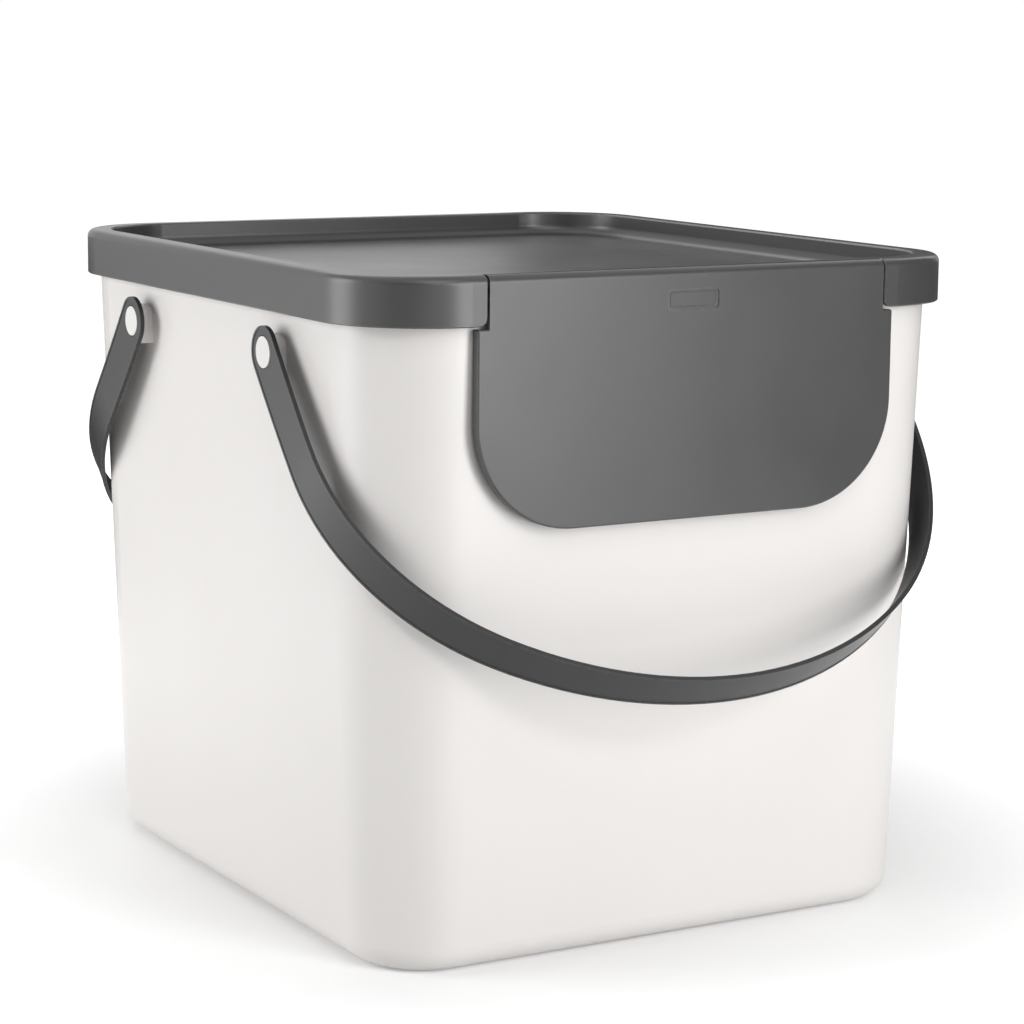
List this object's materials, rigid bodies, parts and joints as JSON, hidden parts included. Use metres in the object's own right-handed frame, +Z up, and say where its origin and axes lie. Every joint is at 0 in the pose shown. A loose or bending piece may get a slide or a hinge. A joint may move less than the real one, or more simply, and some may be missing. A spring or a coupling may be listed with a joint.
{
  "type": "recycling bin",
  "caption": "Stackable kitchen recycling bin with a lift-off lid, a throw-in flap at the front and two swinging strap handles.",
  "frame": {"origin": "middle of the footprint, on the face that the bin stands on", "axes": "+X to the bin's own right seen from the back, which is the right of the picture; +Y to the back, away from the flap; +Z up"},
  "size_m": [0.3546, 0.4828, 0.34],
  "materials": {
    "white_body": "warm white polypropylene with a fine satin grain",
    "grey_lid": "mid grey polypropylene with a fine satin grain",
    "grey_flap": "mid grey polypropylene with a fine satin grain",
    "grey_strap": "mid grey polypropylene, smoother than the lid",
    "white_stud": "warm white polypropylene, smooth"
  },
  "bodies": {
    "bin": {"bin_body": "white_body", "front_pivot_left": "white_stud", "front_pivot_right": "white_stud", "rear_pivot_left": "white_stud", "rear_pivot_right": "white_stud"},
    "lid": {"lid": "grey_lid"},
    "flap": {"front_flap": "grey_flap"},
    "front_handle": {"front_handle": "grey_strap"},
    "rear_handle": {"rear_handle": "grey_strap"}
  },
  "joints": [
    {"name": "lid_lift", "type": "slide", "parent": "bin", "child": "lid", "axis": [0, 0, 1], "range_m": [0, 0.2]},
    {"name": "flap_hinge", "type": "hinge", "parent": "lid", "child": "flap", "pos_m": [0, -0.188, 0.336], "axis": [-1, 0, 0], "range_deg": [0, 95]},
    {"name": "front_handle_swing", "type": "hinge", "parent": "bin", "child": "front_handle", "pos_m": [0, -0.082, 0.2962], "axis": [-1, 0, 0], "range_deg": [0, 154.6]},
    {"name": "rear_handle_swing", "type": "hinge", "parent": "bin", "child": "rear_handle", "pos_m": [0, 0.082, 0.2962], "axis": [1, 0, 0], "range_deg": [0, 154.6]}
  ]
}
